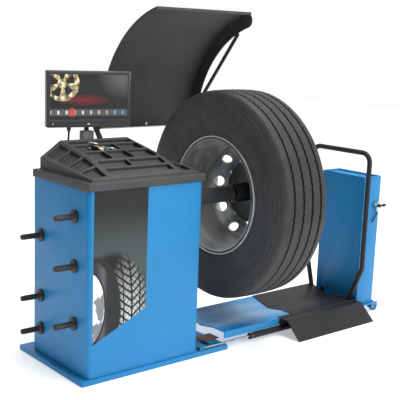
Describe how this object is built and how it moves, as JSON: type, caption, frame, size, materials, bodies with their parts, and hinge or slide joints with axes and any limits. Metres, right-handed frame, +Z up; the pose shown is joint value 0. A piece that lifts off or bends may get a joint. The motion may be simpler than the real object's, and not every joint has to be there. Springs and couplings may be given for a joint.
{
  "type": "truck wheel balancer",
  "caption": "Truck wheel balancer: cabinet with weight tray and monitor, belt-driven spindle with a mounted wheel, raised hood, and a rolling wheel lift with ramp.",
  "frame": {"origin": "on the floor, under the middle of the cabinet", "axes": "+X along the spindle from the cabinet to the wheel and the lift, +Y from the operator to the machine's rear, +Z up"},
  "size_m": [1.986, 1.2661, 1.5851],
  "materials": {
    "blue_paint": "satin",
    "dark_paint": "satin textured",
    "black_paint": "satin",
    "lift_paint": "satin",
    "teal_paint": "satin",
    "brown_paint": "satin",
    "hood_plastic": "fine texture",
    "tray_plastic": "fine texture",
    "monitor_plastic": "glossy",
    "screen_glass": "glossy screen",
    "post_paint": "satin",
    "graphic_film": "printed film",
    "bright_steel": "turned",
    "peg_sleeve": "moulded sleeve",
    "nut_paint": "satin",
    "rim_paint": "silver",
    "tyre_rubber": "moulded",
    "wheel_rubber": "moulded",
    "belt_rubber": "moulded",
    "cable_skin": "extruded",
    "inlet_plastic": "moulded",
    "switch_plastic": "glossy",
    "motor_alloy": "die cast",
    "pulley_alloy": "turned",
    "disc_steel": "etched",
    "sensor_brass": "turned",
    "board_green": "lacquered",
    "screw_zinc": "zinc plated",
    "lever_plastic": "moulded"
  },
  "bodies": {
    "machine": {"base_plate": "blue_paint", "cabinet_shell": "blue_paint", "rear_panel": "blue_paint", "panel_screws": "screw_zinc", "power_inlet": "inlet_plastic", "storage_pegs": "peg_sleeve", "front_graphic": "graphic_film", "weight_tray": "tray_plastic", "tray_dividers": "tray_plastic", "spindle_housing": "dark_paint", "spindle_bearings": "disc_steel", "spindle_stand": "dark_paint", "force_sensors": "sensor_brass", "motor_body": "motor_alloy", "drive_belt": "belt_rubber", "encoder_pickup": "inlet_plastic", "control_board": "board_green", "hinge_bracket": "dark_paint", "hinge_axle": "bright_steel", "monitor_post": "post_paint", "video_cable": "cable_skin", "monitor_power_cable": "cable_skin", "rod_anchor": "teal_paint", "guide_block": "teal_paint", "guide_shoe": "brown_paint", "travel_rod": "bright_steel"},
    "switch": {"main_switch": "switch_plastic"},
    "monitor_swivel": {"monitor_neck": "post_paint"},
    "monitor_head": {"monitor_housing": "monitor_plastic", "monitor_screen": "screen_glass"},
    "spindle": {"spindle_shaft": "bright_steel", "backing_flange": "bright_steel", "centring_cone": "bright_steel", "spindle_pulley": "pulley_alloy", "encoder_disc": "disc_steel", "truck_rim": "rim_paint", "truck_tyre": "tyre_rubber"},
    "nut": {"quick_nut": "nut_paint"},
    "motor_rotor": {"motor_pulley": "pulley_alloy"},
    "hood": {"hood_shell": "hood_plastic", "hood_brace": "black_paint", "hood_arm": "black_paint", "hood_bolts": "screw_zinc"},
    "lift": {"lift_chassis": "blue_paint", "lift_column": "blue_paint", "guide_bars": "bright_steel", "lift_cylinder": "black_paint", "travel_cylinder": "black_paint", "hand_valve": "screw_zinc", "air_pipe": "screw_zinc"},
    "lever": {"valve_lever": "lever_plastic"},
    "outer_wheels": {"outer_casters": "wheel_rubber"},
    "inner_wheels": {"inner_rollers": "wheel_rubber"},
    "platform": {"lift_carriage": "dark_paint", "lift_rod": "bright_steel", "lift_table": "lift_paint", "platform_plate": "black_paint", "guard_hoop": "black_paint", "ramp_hinge_pin": "bright_steel"},
    "ramp": {"ramp_flap": "black_paint"}
  },
  "joints": [
    {"name": "spindle_spin", "type": "hinge", "parent": "machine", "child": "spindle", "pos_m": [0.658, -0.022, 0.704], "axis": [1, 0, 0], "continuous": true},
    {"name": "nut_spin", "type": "hinge", "parent": "spindle", "child": "nut", "pos_m": [0.841, -0.022, 0.704], "axis": [1, 0, 0], "continuous": true},
    {"name": "motor_spin", "type": "hinge", "parent": "machine", "child": "motor_rotor", "pos_m": [0, 0.04, 0.43], "axis": [1, 0, 0], "continuous": true},
    {"name": "hood_swing", "type": "hinge", "parent": "machine", "child": "hood", "pos_m": [0.33, 0.2975, 0.823], "axis": [1, 0, 0], "range_deg": [0, 65]},
    {"name": "monitor_turn", "type": "hinge", "parent": "machine", "child": "monitor_swivel", "pos_m": [-0.009, 0.265, 1], "axis": [0, 0, 1], "range_deg": [-35, 35]},
    {"name": "monitor_tilt", "type": "hinge", "parent": "monitor_swivel", "child": "monitor_head", "pos_m": [-0.009, 0.265, 1.144], "axis": [0.9781, -0.2079, 0], "range_deg": [-12, 0]},
    {"name": "switch_rock", "type": "hinge", "parent": "machine", "child": "switch", "pos_m": [0.1, 0.2225, 0.181], "axis": [1, 0, 0], "range_deg": [-8, 8]},
    {"name": "lift_travel", "type": "slide", "parent": "machine", "child": "lift", "axis": [1, 0, 0], "range_m": [-0.14, 0.1]},
    {"name": "outer_roll", "type": "hinge", "parent": "lift", "child": "outer_wheels", "pos_m": [1.563, -0.083, 0.024], "axis": [0, 1, 0], "continuous": true},
    {"name": "inner_roll", "type": "hinge", "parent": "lift", "child": "inner_wheels", "pos_m": [0.916, -0.05, 0.022], "axis": [0, 1, 0], "continuous": true},
    {"name": "lever_turn", "type": "hinge", "parent": "lift", "child": "lever", "pos_m": [1.502, -0.258, 0.6], "axis": [0, 1, 0], "range_deg": [-40, 40]},
    {"name": "table_raise", "type": "slide", "parent": "lift", "child": "platform", "axis": [0, 0, 1], "range_m": [0, 0.105]},
    {"name": "ramp_fold", "type": "hinge", "parent": "platform", "child": "ramp", "pos_m": [1.115, -0.2195, 0.084], "axis": [-1, 0, 0], "range_deg": [0, 74]}
  ],
  "couplings": [
    {"joint": "motor_spin", "follows": "spindle_spin", "ratio": 3.2},
    {"joint": "outer_roll", "follows": "lift_travel", "rad_per_m": 41.667},
    {"joint": "inner_roll", "follows": "lift_travel", "rad_per_m": 45.455}
  ]
}
